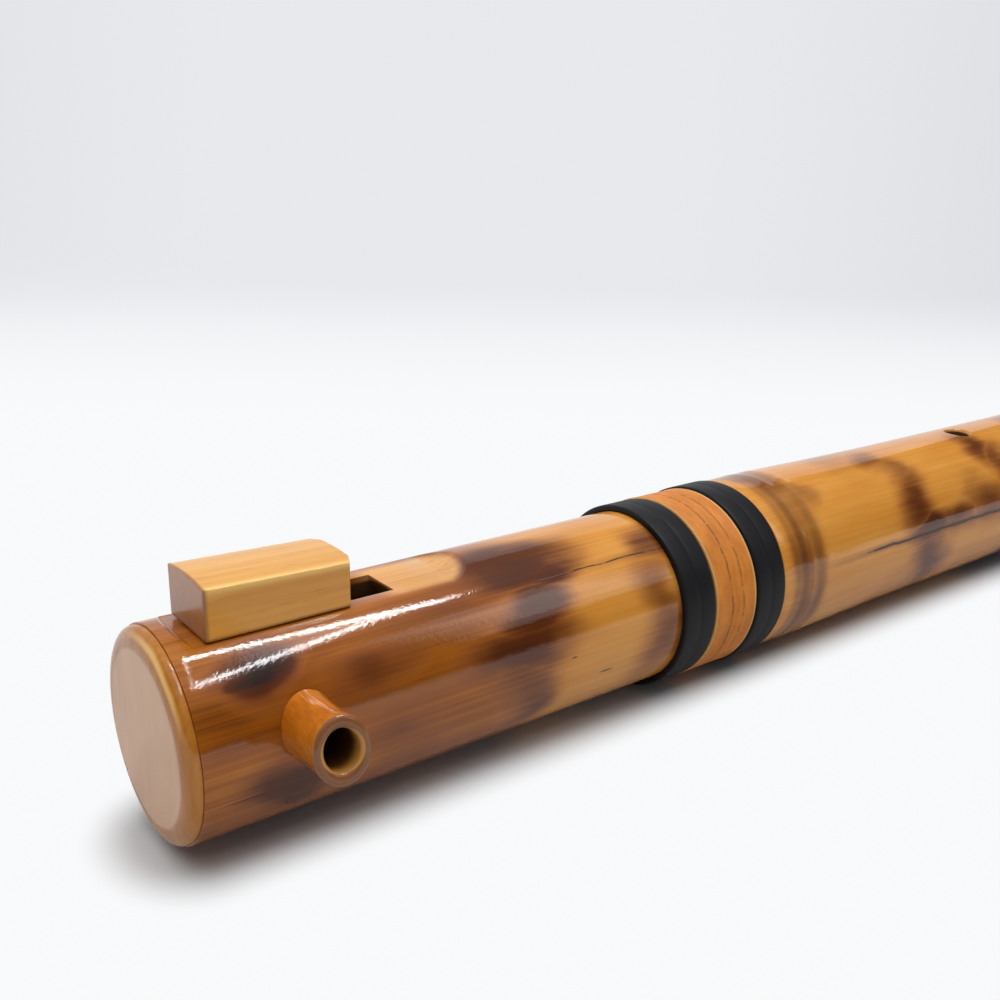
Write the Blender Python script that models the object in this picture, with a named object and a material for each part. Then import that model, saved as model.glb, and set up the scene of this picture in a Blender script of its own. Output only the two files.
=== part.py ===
"""Two-chamber bamboo flute with a side mouthpiece, a carved block and a take-apart joint.

Units are metres. +X runs along the flute from the cap to the foot, +Z is up through the
block, and the mouthpiece points along -Y. The origin is the centre of the cap's flat face,
on the flute's axis.
"""

import math

import bmesh
import bpy
from mathutils import Matrix, Vector

# Fits
SEAT_GAP = 0.0003
RUNNING_GAP = 0.0006

# Head tube
HEAD_OUTER_R = 0.0260
BORE_R = 0.0190
TUBE_EDGE = 0.0005

# Turned end cap
CAP_R = 0.0256
CAP_THICKNESS = 0.0030
CAP_EDGE_ROUND = 0.0044
CAP_EDGE_DEPTH = 0.0026
SPIGOT_LENGTH = 0.0100

# Flat bed cut along the top of the head tube
BED_HEIGHT = 0.0236
BED_START = 0.0091
BED_LEAD_IN = 0.0031
BED_FLAT_END = 0.0785
BED_RUNOUT = 0.0085

# Sound hole, wind way and breath exit under the block
SOUND_HOLE_START = 0.0505
SOUND_HOLE_LENGTH = 0.0119
SOUND_HOLE_WIDTH = 0.0122
SPLITTING_EDGE_UNDERCUT = 0.0040
WIND_WAY_DEPTH = 0.0010
BREATH_EXIT_START = 0.0312
BREATH_EXIT_LENGTH = 0.0060

# Wall between the two chambers
CHAMBER_WALL_START = 0.0402
CHAMBER_WALL_THICKNESS = 0.0080

# Block
BLOCK_START = 0.0119
BLOCK_LENGTH = 0.0387
BLOCK_WIDTH = 0.0203
BLOCK_SIDE_HEIGHT = 0.0125
BLOCK_CROWN = 0.0009
BLOCK_FALL = 0.0013
BLOCK_NOSE_IN_PLAN = 0.0026
BLOCK_NOSE_LENGTH = 0.0030
BLOCK_NOSE_FOOT = 0.0030
BLOCK_END_ROUND = 0.0006

# Mouthpiece tube
MOUTH_X = 0.0313
MOUTH_LEAN_DEG = 6.7
MOUTH_TILT_DEG = 11.9
MOUTH_REACH = 0.0463
MOUTH_BASE_R = 0.0086
MOUTH_NECK_R = 0.0074
MOUTH_RIM_R = 0.0077
MOUTH_RIM_LENGTH = 0.0030
MOUTH_BORE_R = 0.0048
MOUTH_SPIGOT_R = 0.0066
MOUTH_OVAL = 0.84

# Bands and wrap round the joint
HEAD_BAND_START = 0.1462
BAND_WIDTH = 0.0126
BAND_ROUND = 0.0008
HEAD_BAND_R = 0.0279
WRAP_WIDTH = 0.0173
WRAP_R = 0.0281
WRAP_EDGE = 0.0003
BODY_BAND_R = 0.0286

# Joint sleeve and its cork
SLEEVE_BORE_R = 0.0160
SLEEVE_IN_HEAD = 0.0350
SLEEVE_IN_BODY = 0.0350
CORK_LENGTH = 0.0160
CORK_THICKNESS = 0.0015
CORK_FROM_END = 0.0080

# Body tube
TOTAL_LENGTH = 0.7200
BODY_SEAT_R = 0.0272
BODY_R = 0.0273
NODE_SWELL = 0.0009
NODE_SWELL_REACH = 0.0400
SCAR_RING_HEIGHT = 0.0003
SCAR_RING_WIDTH = 0.0030
NODE_RING_SPACING = 0.0080
NODE_RING_HEIGHT = 0.0003
FIRST_NODE_X = 0.2035
NODE_SPACING = 0.2412

# Finger holes
FIRST_HOLE_X = 0.3237
HOLE_SPACING = 0.0480
HOLES_IN_GROUP = 3
SECOND_GROUP_X = 0.4782
HOLE_R = 0.0046
HOLE_DISH_R = 0.0058
HOLE_DISH_DEPTH = 0.0011
HOLE_ROW_TURN_DEG = 2.5

# Roundness
TUBE_SIDES = 56
INNER_SIDES = 40
SMALL_SIDES = 32
HOLE_SIDES = 20
ARC_STEPS = 5

# Places that follow from the sizes above
SEAM_X = CAP_THICKNESS
HEAD_START = SEAM_X + SEAT_GAP
WRAP_START = HEAD_BAND_START + BAND_WIDTH + SEAT_GAP
JOINT_X = WRAP_START + WRAP_WIDTH
BODY_START = JOINT_X + SEAT_GAP
BODY_BAND_START = BODY_START
SOUND_HOLE_END = SOUND_HOLE_START + SOUND_HOLE_LENGTH
BREATH_EXIT_END = BREATH_EXIT_START + BREATH_EXIT_LENGTH
SLEEVE_R = BORE_R - RUNNING_GAP
MOUTH_SEAT_X = HEAD_OUTER_R * 0.96
MOUTH_LEAN = math.radians(MOUTH_LEAN_DEG)
MOUTH_TILT = math.radians(MOUTH_TILT_DEG)
OUTWARDS = Vector((-math.sin(MOUTH_LEAN), -math.cos(MOUTH_LEAN) * math.cos(MOUTH_TILT),
                   math.cos(MOUTH_LEAN) * math.sin(MOUTH_TILT)))


def clear_scene():
    for item in list(bpy.data.objects):
        bpy.data.objects.remove(item, do_unlink=True)


def finish_colour(name, colour, roughness, metallic=0.0):
    material = bpy.data.materials.new(name)
    material.use_nodes = True
    shader = material.node_tree.nodes["Principled BSDF"]
    shader.inputs["Base Color"].default_value = (*colour, 1.0)
    shader.inputs["Roughness"].default_value = roughness
    shader.inputs["Metallic"].default_value = metallic
    material.diffuse_color = (*colour, 1.0)
    return material


def add_object(name, bm, material):
    bmesh.ops.remove_doubles(bm, verts=bm.verts, dist=1e-6)
    bmesh.ops.recalc_face_normals(bm, faces=bm.faces)
    mesh = bpy.data.meshes.new(name)
    bm.to_mesh(mesh)
    bm.free()
    piece = bpy.data.objects.new(name, mesh)
    bpy.context.scene.collection.objects.link(piece)
    if material is not None:
        mesh.materials.append(material)
    return piece


def shade_round(piece, angle_deg=35.0):
    piece.data.shade_smooth()
    piece.data.set_sharp_from_angle(angle=math.radians(angle_deg))


def turned(name, profile, material, sides, closed):
    """Spin a profile of (x, radius) points about the flute's axis."""
    bm = bmesh.new()
    points = [bm.verts.new((x, 0.0, radius)) for x, radius in profile]
    edges = [bm.edges.new(pair) for pair in zip(points, points[1:])]
    if closed:
        edges.append(bm.edges.new((points[-1], points[0])))
    bmesh.ops.spin(bm, geom=points + edges, cent=(0, 0, 0), axis=(1, 0, 0),
                   angle=math.tau, steps=sides, use_duplicate=False)
    piece = add_object(name, bm, material)
    shade_round(piece)
    return piece


def arc(centre_x, centre_r, radius_x, radius_r, start_deg, end_deg, steps=ARC_STEPS):
    """Points of an elliptical arc in the profile plane, angle measured from +X towards +radius."""
    points = []
    for step in range(steps + 1):
        angle = math.radians(start_deg + (end_deg - start_deg) * step / steps)
        points.append((centre_x + radius_x * math.cos(angle), centre_r + radius_r * math.sin(angle)))
    return points


def as_cutter(piece):
    piece.hide_render = True
    piece.display_type = "WIRE"
    return piece


def cut(piece, cutter):
    change = piece.modifiers.new("cut_" + cutter.name, "BOOLEAN")
    change.operation = "DIFFERENCE"
    change.solver = "EXACT"
    change.object = cutter


def side_profile_cutter(name, outline, width):
    """Extrude an outline of (x, z) points across the flute, centred on its axis."""
    bm = bmesh.new()
    face = bm.faces.new([bm.verts.new((x, -width / 2, z)) for x, z in outline])
    extruded = bmesh.ops.extrude_face_region(bm, geom=[face])
    moved = [item for item in extruded["geom"] if isinstance(item, bmesh.types.BMVert)]
    bmesh.ops.translate(bm, verts=moved, vec=(0.0, width, 0.0))
    return as_cutter(add_object(name, bm, None))


def make_end_cap(material):
    spigot_r = BORE_R - SEAT_GAP
    spigot_end = SEAM_X + SPIGOT_LENGTH
    profile = [(spigot_end, 0.0), (spigot_end, spigot_r - TUBE_EDGE), (spigot_end - TUBE_EDGE, spigot_r)]
    profile += [(SEAM_X, spigot_r)]
    profile += [(SEAM_X, CAP_R)]
    profile += arc(CAP_EDGE_DEPTH, CAP_R - CAP_EDGE_ROUND, CAP_EDGE_DEPTH, CAP_EDGE_ROUND, 90, 180, 6)
    profile += [(0.0, 0.0)]
    return turned("end_cap", profile, material, TUBE_SIDES, closed=False)


def tube_profile(start, end, outer, bore_start, bore_end):
    """Closed wall profile: the given outer points, then the bore walked back to the start."""
    return outer + [(end, bore_end + TUBE_EDGE), (end - TUBE_EDGE, bore_end),
                    (start + TUBE_EDGE, bore_start), (start, bore_start + TUBE_EDGE)]


def make_head_tube(material):
    outer = [(HEAD_START, HEAD_OUTER_R - TUBE_EDGE), (HEAD_START + TUBE_EDGE, HEAD_OUTER_R),
             (JOINT_X - TUBE_EDGE, HEAD_OUTER_R), (JOINT_X, HEAD_OUTER_R - TUBE_EDGE)]
    tube = turned("head_tube", tube_profile(HEAD_START, JOINT_X, outer, BORE_R, BORE_R),
                  material, TUBE_SIDES, closed=True)
    above = HEAD_OUTER_R * 1.2
    bed = side_profile_cutter("cut_bed", [
        (BED_START, BED_HEIGHT), (BED_FLAT_END, BED_HEIGHT),
        (BED_FLAT_END + BED_RUNOUT, HEAD_OUTER_R + SEAT_GAP),
        (BED_FLAT_END + BED_RUNOUT, above), (BED_START - BED_LEAD_IN, above),
        (BED_START - BED_LEAD_IN, HEAD_OUTER_R + SEAT_GAP)], HEAD_OUTER_R * 2.2)
    inside = BORE_R * 0.72
    sound_hole = side_profile_cutter("cut_sound_hole", [
        (SOUND_HOLE_START, inside), (SOUND_HOLE_END + SPLITTING_EDGE_UNDERCUT, inside),
        (SOUND_HOLE_END, BED_HEIGHT), (SOUND_HOLE_END, above), (SOUND_HOLE_START, above)],
        SOUND_HOLE_WIDTH)
    breath_exit = side_profile_cutter("cut_breath_exit", [
        (BREATH_EXIT_START, inside), (BREATH_EXIT_END, inside),
        (BREATH_EXIT_END, above), (BREATH_EXIT_START, above)], SOUND_HOLE_WIDTH)
    wind_way = side_profile_cutter("cut_wind_way", [
        (BREATH_EXIT_START + TUBE_EDGE, BED_HEIGHT - WIND_WAY_DEPTH),
        (SOUND_HOLE_START + TUBE_EDGE, BED_HEIGHT - WIND_WAY_DEPTH),
        (SOUND_HOLE_START + TUBE_EDGE, above), (BREATH_EXIT_START + TUBE_EDGE, above)],
        SOUND_HOLE_WIDTH - 2 * TUBE_EDGE)
    socket = mouth_shape("cut_mouth_socket", [(BORE_R * 0.8, 0.0), (BORE_R * 0.8, MOUTH_SPIGOT_R + SEAT_GAP),
                                              (HEAD_OUTER_R * 1.1, MOUTH_SPIGOT_R + SEAT_GAP),
                                              (HEAD_OUTER_R * 1.1, 0.0)], None, closed=False)
    for cutter in (bed, sound_hole, breath_exit, wind_way, as_cutter(socket)):
        cut(tube, cutter)
    return tube


def mouth_shape(name, profile, material, closed):
    """Turn a profile of (distance from the flute's axis, radius) about the mouthpiece's axis."""
    shape = turned(name, profile, material, SMALL_SIDES, closed)
    along = Vector((1.0, 0.0, 0.0))
    across = (along - OUTWARDS * along.dot(OUTWARDS)).normalized()
    up = OUTWARDS.cross(across)
    frame = Matrix((OUTWARDS, across * MOUTH_OVAL, up)).transposed().to_4x4()
    shape.data.transform(Matrix.Translation((MOUTH_X, 0.0, 0.0)) @ frame)
    return shape


def make_mouthpiece(material):
    inner_end = BORE_R + SEAT_GAP
    rim_start = MOUTH_REACH - MOUTH_RIM_LENGTH
    lip = (MOUTH_RIM_R - MOUTH_BORE_R) / 2
    profile = [(inner_end, MOUTH_BORE_R), (inner_end, MOUTH_BASE_R)]
    profile += arc(rim_start, MOUTH_BASE_R, rim_start - MOUTH_SEAT_X, MOUTH_BASE_R - MOUTH_NECK_R, 180, 270, 6)
    profile += arc(rim_start, MOUTH_RIM_R - MOUTH_RIM_LENGTH * 0.2, MOUTH_RIM_LENGTH * 0.4,
                   MOUTH_RIM_LENGTH * 0.2, 180, 90, 2)
    profile += arc(MOUTH_REACH - lip, MOUTH_BORE_R + lip, lip, lip, 90, -90, 7)
    piece = mouth_shape("mouthpiece_tube", profile, material, closed=True)
    saddle = turned("cut_saddle", [
        (MOUTH_X - 2 * MOUTH_BASE_R, 0.0), (MOUTH_X - 2 * MOUTH_BASE_R, HEAD_OUTER_R + SEAT_GAP),
        (MOUTH_X + 2 * MOUTH_BASE_R, HEAD_OUTER_R + SEAT_GAP), (MOUTH_X + 2 * MOUTH_BASE_R, 0.0)],
        None, TUBE_SIDES, closed=False)
    spigot_room = mouth_shape("cut_round_spigot", [
        (BORE_R * 0.5, 0.0), (BORE_R * 0.5, MOUTH_SPIGOT_R),
        (HEAD_OUTER_R * 1.2, MOUTH_SPIGOT_R), (HEAD_OUTER_R * 1.2, 0.0)], None, closed=False)
    cut(saddle, as_cutter(spigot_room))
    cut(piece, as_cutter(saddle))
    return piece


def make_block(material):
    """A crowned bar, trimmed to its rounded nose in plan and in elevation."""
    bottom = BED_HEIGHT + SEAT_GAP
    rings = [crowned_section(bottom, inset) for inset in (BLOCK_END_ROUND, 0.0, 0.0)]
    places = (0.0, BLOCK_END_ROUND, BLOCK_LENGTH)
    bm = bmesh.new()
    loops = []
    for along, ring in zip(places, rings):
        fall = BLOCK_FALL * along / BLOCK_LENGTH
        loops.append([bm.verts.new((BLOCK_START + along, y, z if z <= bottom + BLOCK_END_ROUND else z - fall))
                      for y, z in ring])
    for loop, following in zip(loops, loops[1:]):
        for index in range(len(loop)):
            beside = (index + 1) % len(loop)
            bm.faces.new((loop[index], loop[beside], following[beside], following[index]))
    bm.faces.new(loops[0])
    bm.faces.new(loops[-1])
    piece = add_object("block", bm, material)
    keep(piece, nose_in_plan())
    keep(piece, nose_in_elevation())
    shade_round(piece, 25.0)
    return piece


def crowned_section(bottom, inset):
    """Flat sole, upright sides and a top that arches from edge to edge, as (y, z) points."""
    half = BLOCK_WIDTH / 2 - inset
    side_top = bottom + BLOCK_SIDE_HEIGHT - inset
    arch_r = (half * half + BLOCK_CROWN * BLOCK_CROWN) / (2 * BLOCK_CROWN)
    spread = math.asin(half / arch_r)
    steps = 10
    points = [(-half, bottom), (half, bottom)]
    for step in range(steps + 1):
        angle = spread * (1 - 2 * step / steps)
        points.append((arch_r * math.sin(angle), side_top + BLOCK_CROWN + arch_r * (math.cos(angle) - 1)))
    return points


def keep(piece, shape):
    change = piece.modifiers.new("keep_" + shape.name, "BOOLEAN")
    change.operation = "INTERSECT"
    change.solver = "EXACT"
    change.object = shape


def nose_in_plan():
    """The block's outline from above: straight sides and one round arc across the nose."""
    half = BLOCK_WIDTH / 2
    room = SEAT_GAP * 3
    tip = BLOCK_START + BLOCK_LENGTH
    nose_r = (half * half + BLOCK_NOSE_IN_PLAN ** 2) / (2 * BLOCK_NOSE_IN_PLAN)
    spread = math.asin(half / nose_r)
    steps = 14
    outline = [(BLOCK_START - room, half + room), (BLOCK_START - room, -half - room),
               (tip - BLOCK_NOSE_IN_PLAN, -half - room)]
    for step in range(steps + 1):
        angle = spread * (2 * step / steps - 1)
        outline.append((tip - nose_r + nose_r * math.cos(angle), nose_r * math.sin(angle)))
    outline.append((tip - BLOCK_NOSE_IN_PLAN, half + room))
    bm = bmesh.new()
    face = bm.faces.new([bm.verts.new((x, y, BED_HEIGHT - room)) for x, y in outline])
    extruded = bmesh.ops.extrude_face_region(bm, geom=[face])
    moved = [item for item in extruded["geom"] if isinstance(item, bmesh.types.BMVert)]
    bmesh.ops.translate(bm, verts=moved, vec=(0.0, 0.0, BLOCK_SIDE_HEIGHT + BLOCK_CROWN + 3 * room))
    return as_cutter(add_object("cut_nose_plan", bm, None))


def nose_in_elevation():
    """The block's outline from the side: a level top that falls over the nose in one curve."""
    room = SEAT_GAP * 3
    tip = BLOCK_START + BLOCK_LENGTH
    top = BED_HEIGHT + SEAT_GAP + BLOCK_SIDE_HEIGHT + BLOCK_CROWN
    foot = BED_HEIGHT + SEAT_GAP + BLOCK_NOSE_FOOT
    outline = [(BLOCK_START - room, top + room), (BLOCK_START - room, BED_HEIGHT - room),
               (tip + SEAT_GAP, BED_HEIGHT - room)]
    outline += arc(tip + SEAT_GAP - BLOCK_NOSE_LENGTH, foot, BLOCK_NOSE_LENGTH, top - foot, 0, 90, 10)
    outline.append((tip - BLOCK_NOSE_LENGTH, top + room))
    return side_profile_cutter("cut_nose_side", outline, BLOCK_WIDTH * 1.2)


def make_chamber_wall(material):
    radius = BORE_R - SEAT_GAP
    end = CHAMBER_WALL_START + CHAMBER_WALL_THICKNESS
    profile = [(end, 0.0), (end, radius - TUBE_EDGE), (end - TUBE_EDGE, radius),
               (CHAMBER_WALL_START + TUBE_EDGE, radius), (CHAMBER_WALL_START, radius - TUBE_EDGE),
               (CHAMBER_WALL_START, 0.0)]
    return turned("chamber_wall", profile, material, INNER_SIDES, closed=False)


def ring_profile(start, width, inner_r, outer_r, corner, steps):
    end = start + width
    profile = [(start, inner_r)]
    profile += arc(start + corner, outer_r - corner, corner, corner, 180, 90, steps)
    profile += arc(end - corner, outer_r - corner, corner, corner, 90, 0, steps)
    profile += [(end, inner_r)]
    return profile


def make_head_band(material):
    profile = ring_profile(HEAD_BAND_START, BAND_WIDTH, HEAD_OUTER_R + SEAT_GAP, HEAD_BAND_R, BAND_ROUND, 3)
    return turned("head_band", profile, material, TUBE_SIDES, closed=True)


def make_leather_wrap(material):
    profile = ring_profile(WRAP_START, WRAP_WIDTH, HEAD_OUTER_R + SEAT_GAP, WRAP_R, WRAP_EDGE, 1)
    return turned("leather_wrap", profile, material, TUBE_SIDES, closed=True)


def make_body_band(material):
    profile = ring_profile(BODY_BAND_START, BAND_WIDTH, BODY_SEAT_R + SEAT_GAP, BODY_BAND_R, BAND_ROUND, 3)
    return turned("body_band", profile, material, TUBE_SIDES, closed=True)


def make_joint_sleeve(material):
    start = JOINT_X - SLEEVE_IN_HEAD
    end = JOINT_X + SLEEVE_IN_BODY
    groove_r = SLEEVE_R - CORK_THICKNESS
    outer = [(start, SLEEVE_R - TUBE_EDGE), (start + TUBE_EDGE, SLEEVE_R)]
    for groove_start in (start + CORK_FROM_END, end - CORK_FROM_END - CORK_LENGTH):
        groove_end = groove_start + CORK_LENGTH
        outer += [(groove_start, SLEEVE_R), (groove_start, groove_r),
                  (groove_end, groove_r), (groove_end, SLEEVE_R)]
    outer += [(end - TUBE_EDGE, SLEEVE_R), (end, SLEEVE_R - TUBE_EDGE)]
    profile = tube_profile(start, end, outer, SLEEVE_BORE_R, SLEEVE_BORE_R)
    return turned("joint_sleeve", profile, material, INNER_SIDES, closed=True)


def make_joint_cork(name, groove_start, material):
    inner_r = SLEEVE_R - CORK_THICKNESS + SEAT_GAP
    profile = ring_profile(groove_start + SEAT_GAP, CORK_LENGTH - 2 * SEAT_GAP, inner_r,
                           BORE_R - SEAT_GAP, TUBE_EDGE, 1)
    return turned(name, profile, material, INNER_SIDES, closed=True)


def bamboo_radius(x):
    """Outside radius of the body: waisted between the nodes and swollen at each of them."""
    radius = BODY_R
    for count in range(-1, 4):
        node = FIRST_NODE_X + count * NODE_SPACING
        reach = (x - node - NODE_RING_SPACING / 2) / NODE_SWELL_REACH
        radius += NODE_SWELL * math.exp(-reach * reach)
    return radius


def body_outline():
    """Outside points of the body from the joint to the foot."""
    band_end = BODY_BAND_START + BAND_WIDTH + SEAT_GAP
    points = [(BODY_START, BODY_SEAT_R - TUBE_EDGE), (BODY_START + TUBE_EDGE, BODY_SEAT_R),
              (band_end, BODY_SEAT_R), (band_end, bamboo_radius(band_end))]
    places = []
    node = FIRST_NODE_X
    previous = band_end
    while previous < TOTAL_LENGTH:
        stop = min(node - SCAR_RING_WIDTH, TOTAL_LENGTH)
        steps = max(1, round((stop - previous) / NODE_SWELL_REACH))
        places += [(previous + (stop - previous) * step / steps, 0.0) for step in range(1, steps + 1)]
        if stop < TOTAL_LENGTH:
            second = node + NODE_RING_SPACING
            places += [(node, SCAR_RING_HEIGHT), (node + SCAR_RING_WIDTH, 0.0),
                       (second - SCAR_RING_WIDTH, 0.0), (second, NODE_RING_HEIGHT),
                       (second + 2 * SCAR_RING_WIDTH, 0.0)]
            previous = second + 2 * SCAR_RING_WIDTH
        else:
            previous = TOTAL_LENGTH
        node += NODE_SPACING
    places = [place for place in places if place[0] < TOTAL_LENGTH - TUBE_EDGE]
    points += [(x, bamboo_radius(x) + ring) for x, ring in places]
    foot_r = bamboo_radius(TOTAL_LENGTH)
    return points + [(TOTAL_LENGTH - TUBE_EDGE, foot_r), (TOTAL_LENGTH, foot_r - TUBE_EDGE)]


def make_body_tube(material):
    tube = turned("body_tube", tube_profile(BODY_START, TOTAL_LENGTH, body_outline(), BORE_R, BORE_R),
                  material, TUBE_SIDES, closed=True)
    turn = math.radians(HOLE_ROW_TURN_DEG)
    places = [start + number * HOLE_SPACING for start in (FIRST_HOLE_X, SECOND_GROUP_X)
              for number in range(HOLES_IN_GROUP)]
    for number, x in enumerate(places):
        surface = bamboo_radius(x)
        drill = turned("cut_finger_hole_%d" % (number + 1), [
            (BORE_R * 0.8, 0.0), (BORE_R * 0.8, HOLE_R), (surface - HOLE_DISH_DEPTH, HOLE_R),
            (surface + SEAT_GAP, HOLE_DISH_R), (surface * 1.1, HOLE_DISH_R), (surface * 1.1, 0.0)],
            None, HOLE_SIDES, closed=False)
        stand_up = Matrix.Rotation(-math.pi / 2, 4, "Y")
        lean = Matrix.Rotation(turn, 4, "X")
        drill.data.transform(Matrix.Translation((x, 0.0, 0.0)) @ lean @ stand_up)
        cut(tube, as_cutter(drill))
    return tube


def main():
    clear_scene()
    bamboo = finish_colour("lacquered_bamboo", (0.50, 0.24, 0.08), 0.25)
    turned_wood = finish_colour("lacquered_wood", (0.44, 0.26, 0.13), 0.30)
    block_wood = finish_colour("block_wood", (0.55, 0.32, 0.12), 0.32)
    rubber = finish_colour("black_rubber", (0.02, 0.02, 0.022), 0.55)
    leather = finish_colour("tan_leather", (0.52, 0.25, 0.09), 0.60)
    plain_wood = finish_colour("plain_wood", (0.62, 0.44, 0.26), 0.60)
    cork = finish_colour("cork", (0.55, 0.36, 0.20), 0.85)

    make_end_cap(turned_wood)
    make_head_tube(bamboo)
    make_block(block_wood)
    make_mouthpiece(bamboo)
    make_chamber_wall(plain_wood)
    make_head_band(rubber)
    make_leather_wrap(leather)
    make_joint_sleeve(plain_wood)
    make_joint_cork("head_cork", JOINT_X - SLEEVE_IN_HEAD + CORK_FROM_END, cork)
    make_joint_cork("body_cork", JOINT_X + SLEEVE_IN_BODY - CORK_FROM_END - CORK_LENGTH, cork)
    make_body_band(rubber)
    make_body_tube(bamboo)


main()
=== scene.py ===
"""Looks for the two-chamber bamboo flute: finishes, fine pieces, light, floor and camera."""
import math

import bpy
from mathutils import Euler, Matrix, Vector


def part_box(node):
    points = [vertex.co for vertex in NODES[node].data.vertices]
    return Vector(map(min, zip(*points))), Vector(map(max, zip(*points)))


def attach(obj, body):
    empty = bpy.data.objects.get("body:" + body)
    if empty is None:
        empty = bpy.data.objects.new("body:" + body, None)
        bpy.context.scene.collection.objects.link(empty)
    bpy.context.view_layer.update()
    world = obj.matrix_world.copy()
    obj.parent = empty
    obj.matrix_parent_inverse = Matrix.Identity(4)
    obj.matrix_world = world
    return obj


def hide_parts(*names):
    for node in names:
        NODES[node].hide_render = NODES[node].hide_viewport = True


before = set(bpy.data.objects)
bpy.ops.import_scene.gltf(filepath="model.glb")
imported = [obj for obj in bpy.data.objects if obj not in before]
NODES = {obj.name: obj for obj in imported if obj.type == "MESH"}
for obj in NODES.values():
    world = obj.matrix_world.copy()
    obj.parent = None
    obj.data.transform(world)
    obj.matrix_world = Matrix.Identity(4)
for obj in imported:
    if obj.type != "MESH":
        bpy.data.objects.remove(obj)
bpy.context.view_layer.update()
bpy.ops.object.select_all(action="DESELECT")

# Places taken from the frame
HEAD_LOW, HEAD_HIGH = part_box("head_tube")
BODY_LOW, BODY_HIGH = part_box("body_tube")
CAP_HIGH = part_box("end_cap")[1]
BLOCK_LOW, BLOCK_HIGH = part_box("block")
HEAD_BAND_LOW, HEAD_BAND_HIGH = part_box("head_band")
BODY_BAND_LOW, BODY_BAND_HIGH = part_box("body_band")
WRAP_LOW, WRAP_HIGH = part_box("leather_wrap")
HEAD_R = HEAD_HIGH.y
SEAM_X = HEAD_LOW.x
JOINT_X = HEAD_HIGH.x

# Roundings and clearances, in metres
ROUND_SIDES = 144
EDGE = 0.0004
SEAM_EDGE = 0.00012
SKIN = 0.00004
SEAT_GAP = 0.0003
SHARP_DEG = 28
TUBE_SMOOTH_DEG = 24.0

# Head tube
BORE_R = 0.0190
HEAD_RINGS = 58
HEAD_RIM = 0.00012
BED_HEIGHT = BLOCK_LOW.z - SEAT_GAP
BED_START = 0.0091
BED_LEAD_IN = 0.0031
BED_FLAT_END = 0.0785
BED_RUNOUT = 0.0085
RUNOUT_RISES = ((0.35, 0.0007), (0.70, 0.0017), (1.00, 0.0027))
SOUND_HOLE_START = 0.0505
SOUND_HOLE_END = 0.0624
SOUND_HOLE_WIDTH = 0.0122
SPLITTING_EDGE_UNDERCUT = 0.0040
BREATH_EXIT_START = 0.0312
BREATH_EXIT_END = 0.0372
WIND_WAY_DEPTH = 0.0010

# Cap
CAP_FLAT_R = 0.0208
CAP_EDGE_DEPTH = 0.0026

# Block
BLOCK_NOSE_IN_PLAN = 0.0026
BLOCK_NOSE_LENGTH = 0.0030
BLOCK_NOSE_FOOT = 0.0030
BLOCK_CROWN = 0.0009
BLOCK_FALL = 0.0013
BLOCK_EDGE = 0.0008
BLOCK_GRID = 0.00028

# Mouthpiece
MOUTH_X = 0.0313
MOUTH_LEAN_DEG = 6.7
MOUTH_TILT_DEG = 11.9
MOUTH_REACH = 0.04627
MOUTH_BASE_R = 0.0086
MOUTH_NECK_R = 0.0074
MOUTH_RIM_R = 0.0077
MOUTH_RIM_LENGTH = 0.0030
MOUTH_RIM_SWELL = 0.0012
MOUTH_RIM_ROUND = 0.0006
MOUTH_BORE_R = 0.0048
MOUTH_SPIGOT_R = 0.0066
MOUTH_SEAT_DEPTH = 0.0024
MOUTH_OVAL = 0.84

# Body tube
WAIST_R = 0.0273
SEAT_R = 0.0272
FOOT_INSET = 0.000002
NODE_SWELL = 0.0009
NODE_SWELL_REACH = 0.0400
NODE_PLACES = (0.2035, 0.4447, 0.6859)
NODE_RING_SPACING = 0.0080
NODE_RING_HEIGHT = 0.00012
NODE_RING_HALF = 0.0022
NODE_MARGIN = 0.006
NODE_STEP = 0.0007
BODY_STEP = 0.0040
HOLE_PLACES = (0.3237, 0.3717, 0.4197, 0.4782, 0.5262, 0.5742)
HOLE_R = 0.0046
HOLE_DISH_R = 0.0058
HOLE_DISH_DEPTH = 0.0011
HOLE_LIP = 0.0003
HOLE_ROW_TURN_DEG = 2.5

# Bands and wrap. The crease's points are offsets from the middle and depths.
BAND_CORNER = 0.0008
BAND_CREASE = ((-0.0012, 0.0), (-0.0004, 0.00006), (0.0, 0.00014), (0.0004, 0.00006), (0.0012, 0.0))
WRAP_EDGE = 0.00035
WRAP_CROWN = 0.00012
WRAP_SEAM_HALF = 0.0002
WRAP_SEAM_TURN_DEG = -35.0

# Camera, fitted to the photograph
CAMERA_PLACE = (-0.06972, -0.21968, 0.12680)
CAMERA_TURN_DEG = (72.377, -1.105, -37.315)
LENS_MM = 39.109
SENSOR_MM = 36.0

# Studio
FLOOR_GAP = 0.0002
FLOOR_Z = min(BODY_LOW.z, BODY_BAND_LOW.z) - FLOOR_GAP
FLOOR_REACH = 3.0
WALL_Y = 1.6
WALL_CURVE = 0.6
WALL_HEIGHT = 2.0
SWEEP_STEPS = 16
# The camera's heading over the floor
HEADING_X = 0.606
HEADING_Y = 0.795
# Distances from the flute over which its shadow and its mirror image give way to even paper
SHADOW_FROM = 0.013
SHADOW_TO = 0.031
MIRROR_FROM = 0.030
MIRROR_TO = 0.210
END_MARGIN = 0.008
PAPER = (0.64, 0.645, 0.65)
PAPER_NEAR = (0.945, 0.952, 0.962)
# Painted shade: the glowing paper greys further off and more so towards the sides
PAPER_FAR_SHADE = (0.800, 0.813, 0.845)
PAPER_CORNER_SHADE = (0.725, 0.735, 0.770)
DOME_LOW = (0.055, 0.055, 0.060)
DOME_HIGH = (0.75, 0.76, 0.78)
DOME_SEEN = (0.93, 0.94, 0.95)

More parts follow.
